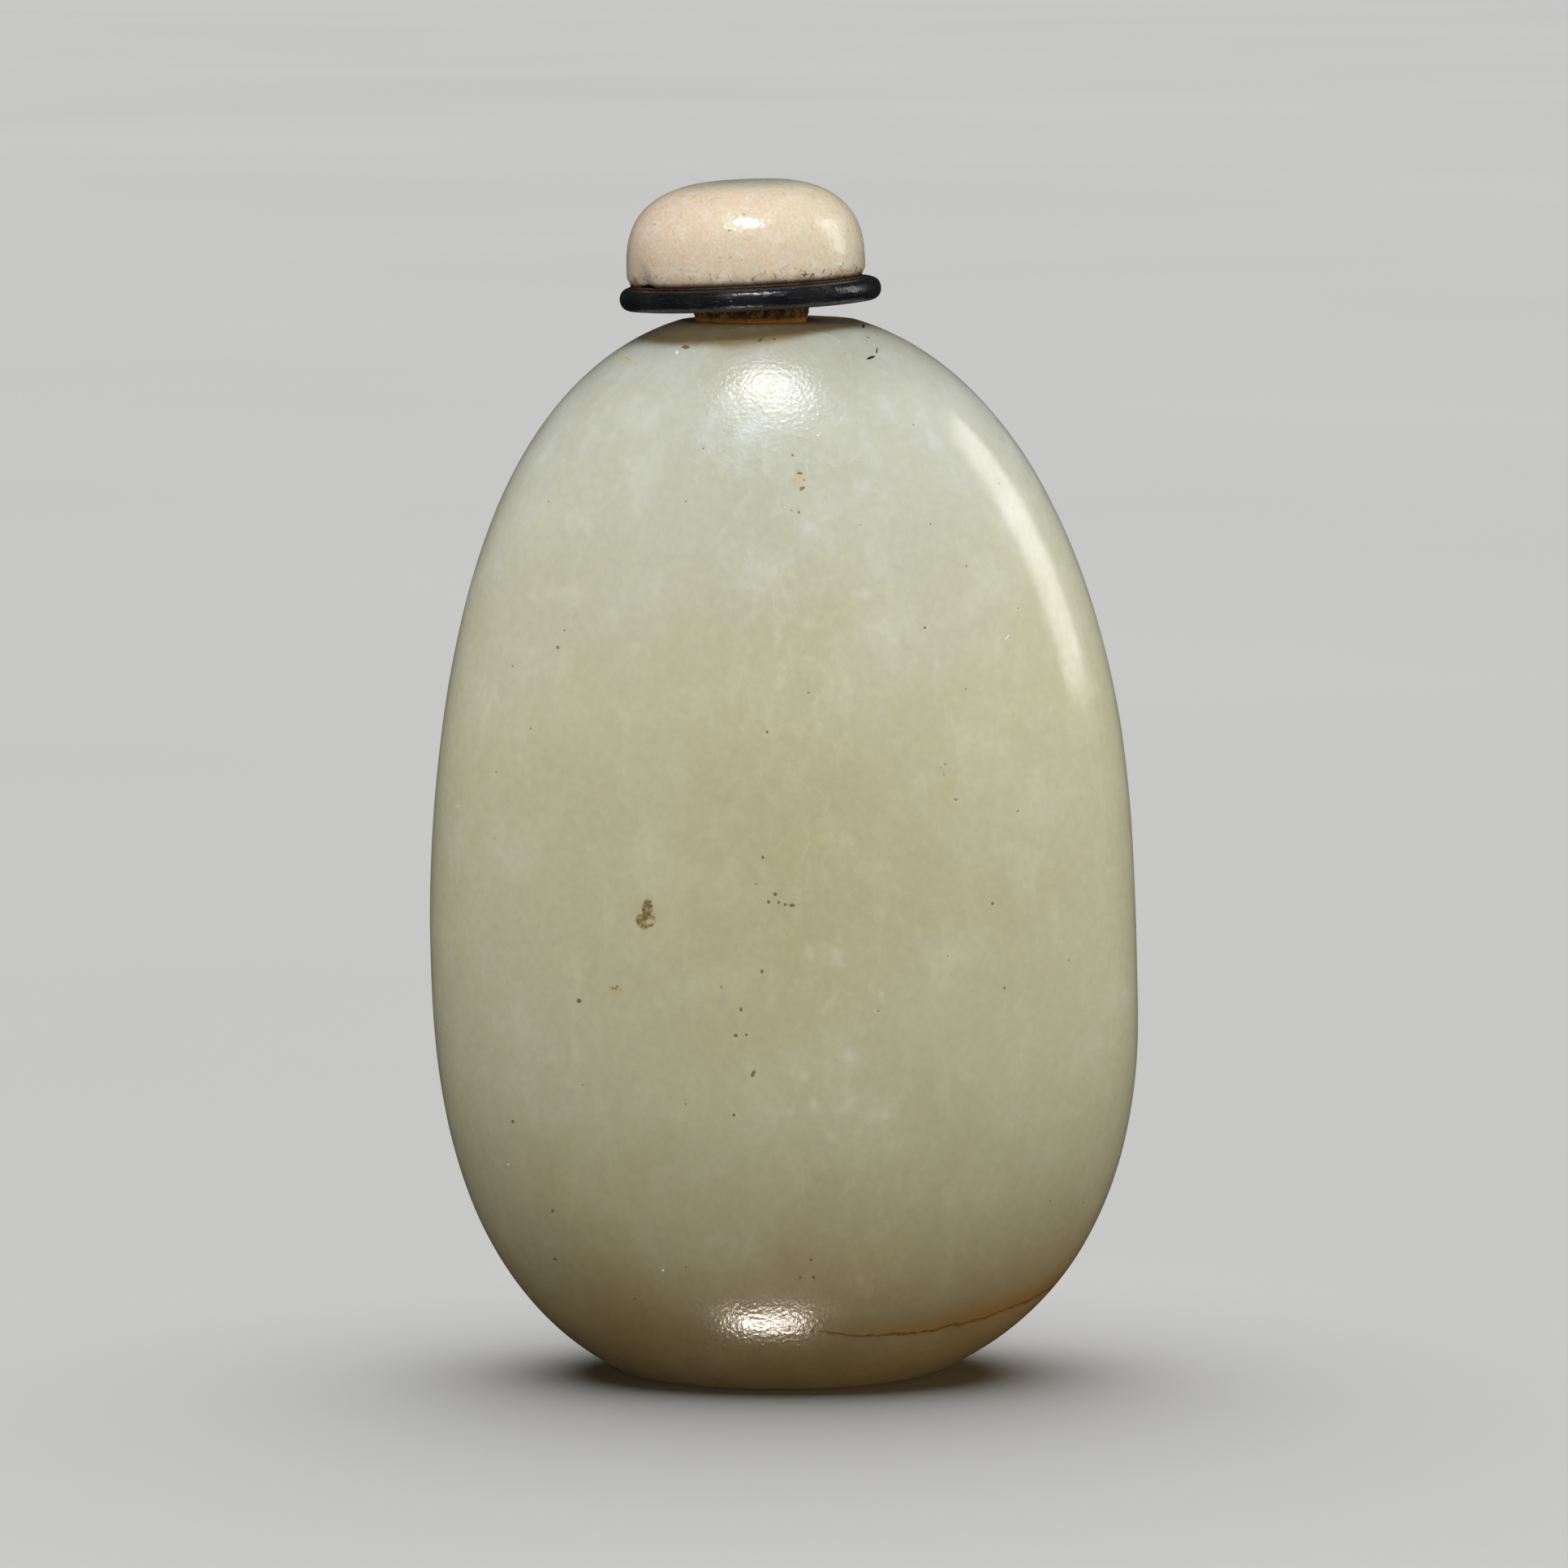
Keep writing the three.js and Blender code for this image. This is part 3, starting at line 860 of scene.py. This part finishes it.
def make_collar():
    """A turned black disc with a full round rim and a fine ridge where its top begins."""
    half = COLLAR_HALF_THICKNESS
    profile = [(r, -half) for r in (1.5, 3.0, 4.5, 5.8, 6.5)]
    for i in range(COLLAR_EDGE_STEPS + 1):
        angle = math.pi * (i / COLLAR_EDGE_STEPS - 0.5)
        outward = max(0, math.cos(angle)) ** (2 / COLLAR_EDGE_POWER)
        profile.append((COLLAR_RADIUS - half + half * outward, half * math.sin(angle)))
    for i in range(COLLAR_TOP_LEVELS):
        radius = COLLAR_RADIUS - half - 0.02 - COLLAR_TOP_SPACING * i
        profile.append((radius, half))
    profile += [(r, half) for r in (5.5, 4.0, 2.0)]

    def relief(point):
        height = unevenness(point, COLLAR_BUMPS) - dents(point, 0.02, 0.9, 9, rarity=0.45)
        if point.z > 0:
            away = (math.hypot(point.x, point.y) - COLLAR_RIDGE_RADIUS) / COLLAR_RIDGE_WIDTH
            height += COLLAR_RIDGE_HEIGHT * math.exp(-away * away)
        return height

    rings = carved(lathe_rings(profile, TURNED_STEPS), relief)
    poles = Vector((0, 0, -half)), Vector((0, 0, half))
    piece = closed_piece("collar_disc", rings, *poles, collar_material(), "collar", STOPPER_FRAME)
    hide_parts("stopper_collar")


def make_cap():
    """The domed stone, a little uneven, with a chipped lower edge."""
    bulge = CAP_BASE + CAP_BULGE_HEIGHT
    rise = CAP_TOP - bulge
    profile = [(r, CAP_BASE) for r in (1.5, 3.0, 4.5, 5.6, 6.3)]
    for i in range(CAP_EDGE_STEPS + 1):
        turn = math.pi / 2 * i / CAP_EDGE_STEPS
        radius = CAP_BASE_RADIUS - CAP_EDGE * (1 - math.sin(turn))
        profile.append((radius, CAP_BASE + CAP_EDGE * (1 - math.cos(turn))))
    for i in range(CAP_LEVELS):
        angle = math.pi / 2 * i / CAP_LEVELS
        radius = CAP_RADIUS * math.cos(angle) ** (2 / CAP_POWER)
        profile.append((radius, bulge + rise * math.sin(angle) ** (2 / CAP_POWER)))

    def relief(point):
        height = unevenness(point, CAP_BUMPS) - dents(point, 0.02, 0.6, 4, rarity=0.4)
        height -= CHIP_DEPTH * math.exp(-(((point - CHIP).length / CHIP_SPREAD) ** 2))
        near_edge = math.exp(-(((point.z - CAP_BASE) / CAP_NICK_HEIGHT) ** 2))
        return height - near_edge * dents(point, 0.07, 0.8, 8)

    rings = carved(lathe_rings(profile, TURNED_STEPS, CAP_SHIFT), relief)
    poles = Vector((CAP_SHIFT, 0, CAP_BASE)), Vector((CAP_SHIFT, 0, CAP_TOP))
    piece = closed_piece("cap_dome", rings, *poles, cap_material(), "cap_stone", STOPPER_FRAME)
    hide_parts("stopper_cap")


def make_cork():
    """The tapered cork, crumbly all round."""
    profile = [(r, CORK_END) for r in (0.7, 1.4, CORK_END_RADIUS - CORK_END_ROUNDING)]
    side = [
        (CORK_END_RADIUS, CORK_END + CORK_END_ROUNDING),
        (CORK_LIP_RADIUS, CORK_LIP),
        (CORK_TOP_RADIUS, CORK_TOP),
    ]
    for (radius, low), (next_radius, high) in zip(side, side[1:]):
        count = max(8, round((high - low) / CORK_LEVEL_HEIGHT))
        for i in range(count):
            part = i / count
            profile.append((radius + (next_radius - radius) * part, low + (high - low) * part))
    profile += [(CORK_TOP_RADIUS, CORK_TOP), (2.2, CORK_TOP), (1.0, CORK_TOP)]

    def relief(point):
        holes = dents(point, 0.16, 0.7, 12, rarity=0.35)
        return unevenness(point, CORK_BUMPS) - holes - CORK_WEAR

    rings = carved(lathe_rings(profile, TURNED_STEPS), relief)
    poles = Vector((0, 0, CORK_END)), Vector((0, 0, CORK_TOP))
    piece = closed_piece("cork_plug", rings, *poles, cork_material(), "cork", STOPPER_FRAME)
    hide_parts("stopper_cork")


def make_seam():
    """The uneven line of old glue between the cap and the collar."""
    profile = []
    for i in range(SEAM_STEPS):
        turn = 2 * math.pi * i / SEAM_STEPS - math.pi / 2
        radius = SEAM_RADIUS + SEAM_THICKNESS * math.cos(turn)
        profile.append((radius, SEAM_MIDDLE + 0.5 * SEAM_THICKNESS * math.sin(turn)))

    def uneven(point):
        out = Vector((point.x - CAP_SHIFT, point.y, 0)).normalized()
        return point + out * unevenness(point, SEAM_BUMPS)

    rings = lathe_rings(profile, TURNED_STEPS, CAP_SHIFT)
    points = [STOPPER_FRAME @ uneven(point) for ring in rings for point in ring]
    faces = []
    for i in range(SEAM_STEPS):
        low = i * TURNED_STEPS
        high = (i + 1) % SEAM_STEPS * TURNED_STEPS
        for j in range(TURNED_STEPS):
            after = (j + 1) % TURNED_STEPS
            faces.append((low + j, low + after, high + after, high + j))
    riding_piece("glue_seam", points, faces, glue_material())


make_bottle()
make_collar()
make_cap()
make_cork()
make_seam()

# ---- Stage ------------------------------------------------------------------------

FLOOR_HALF = 12.0
WORLD_STRENGTH = 0.016

# The floor's own light is a broad sun, which comes from a little behind the object.
WASH_STRENGTH = 3.2
WASH_SPREAD = math.radians(80)
WASH_TILT = math.radians(-14)

# The camera looks down a little at a place just below the middle of the whole object.
# FIELD is the width in view there.
AIM_SHARE = 0.4945
AIM = Vector(((cad_box[0][0] + cad_box[1][0]) / 2, 0, AIM_SHARE * cad_box[1][2]))
CAMERA_PITCH = math.radians(6.2)
CAMERA_DISTANCE = 0.513
FIELD = 0.0916
SENSOR = 36


def towards(azimuth, elevation):
    """A direction from the object. Azimuth 0 is the front and 90 is the right."""
    turn = math.radians(azimuth)
    rise = math.radians(elevation)
    level = math.cos(rise)
    return Vector((math.sin(turn) * level, -math.cos(turn) * level, math.sin(rise)))


def soft_light(name, height, azimuth, elevation, distance, spread, radiance, colour=(1, 1, 1)):
    """A softbox that faces the bottle at a height in millimetres, and is unseen itself.

    It is distance metres away, and spread is its half-angles across and up from there.
    """
    light = bpy.data.lights.new(name, "AREA")
    light.shape = "RECTANGLE"
    light.size = 2 * distance * math.tan(math.radians(spread[0]))
    light.size_y = 2 * distance * math.tan(math.radians(spread[1]))
    light.energy = radiance * math.pi * light.size * light.size_y
    light.color = colour
    lamp = bpy.data.objects.new(name, light)
    target = Vector((AIM.x, 0, height * UNIT))
    lamp.location = target + distance * towards(azimuth, elevation)
    lamp.rotation_euler = (target - lamp.location).to_track_quat("-Z", "Y").to_euler()
    lamp.visible_camera = False
    bpy.context.scene.collection.objects.link(lamp)
    return lamp


def make_floor():
    """A wide floor that throws no pale glow on the stone."""
    corners = [(-1, -1), (1, -1), (1, 1), (-1, 1)]
    points = [(FLOOR_HALF * x, FLOOR_HALF * y, 0) for x, y in corners]
    floor = mesh_object("floor", points, [(0, 1, 2, 3)], floor_material())
    floor.visible_diffuse = False
    floor.visible_glossy = False
    floor.visible_shadow = False
    return floor


def make_world():
    """A faint even light from all round."""
    world = bpy.data.worlds.new("studio")
    world.use_nodes = True
    background = world.node_tree.nodes["Background"]
    background.inputs["Color"].default_value = (1.0, 1.0, 1.0, 1)
    background.inputs["Strength"].default_value = WORLD_STRENGTH
    bpy.context.scene.world = world


def make_lights(floor):
    """Softboxes for the object alone, and a wash of light for the floor alone."""
    shining = [
        soft_light("key_softbox", 57, 0, 57, 0.30, (10.5, 5.5), 28),
        soft_light("right_strip", 45, 105, 22, 0.45, (10, 16), 3.4, (1, 0.97, 0.92)),
        soft_light("floor_glint", 5, -8, -52, 0.20, (8, 2.2), 42, (1, 0.9, 0.81)),
    ]
    shining[-1].visible_diffuse = False
    filling = [
        soft_light("top_fill", 57, 0, 66, 0.50, (20, 12), 1.1),
        soft_light("front_fill", 40, 0, 20, 0.80, (34, 18), 1.2),
        soft_light("low_fill", 30, 0, -8, 0.80, (34, 16), 0.22),
        soft_light("right_fill", 30, 68, 2, 0.60, (20, 22), 1.35),
        soft_light("left_fill", 35, -68, 8, 0.60, (20, 24), 1.1),
        soft_light("left_strip", 45, -99, 18, 0.45, (7, 20), 2.3),
        soft_light("right_low", 15, 70, -25, 0.60, (18, 14), 0.8),
        soft_light("back_fill", 35, 178, 15, 0.70, (20, 18), 2.0),
        soft_light("back_low_fill", 20, 182, -12, 0.70, (20, 14), 0.7),
    ]
    for lamp in filling:
        lamp.visible_glossy = False
    not_the_floor = bpy.data.collections.new("not_the_floor")
    not_the_floor.objects.link(floor)
    not_the_floor.collection_objects[0].light_linking.link_state = "EXCLUDE"
    for lamp in shining + filling:
        lamp.light_linking.receiver_collection = not_the_floor

    wash = bpy.data.objects.new("floor_wash", bpy.data.lights.new("floor_wash", "SUN"))
    wash.data.energy = WASH_STRENGTH
    wash.data.angle = WASH_SPREAD
    wash.rotation_euler = (WASH_TILT, 0, 0)
    bpy.context.scene.collection.objects.link(wash)
    only_the_floor = bpy.data.collections.new("only_the_floor")
    only_the_floor.objects.link(floor)
    wash.light_linking.receiver_collection = only_the_floor


def make_camera():
    """The camera at the photo's viewing angle."""
    camera = bpy.data.cameras.new("camera")
    camera.sensor_width = SENSOR
    camera.lens = SENSOR * CAMERA_DISTANCE / FIELD
    viewer = bpy.data.objects.new("camera", camera)
    away = Vector((0, -math.cos(CAMERA_PITCH), math.sin(CAMERA_PITCH)))
    viewer.location = AIM + CAMERA_DISTANCE * away
    viewer.rotation_euler = (AIM - viewer.location).to_track_quat("-Z", "Y").to_euler()
    bpy.context.scene.collection.objects.link(viewer)
    bpy.context.scene.camera = viewer
    bpy.context.scene.view_settings.view_transform = "Standard"


stage_floor = make_floor()
make_world()
make_lights(stage_floor)
make_camera()
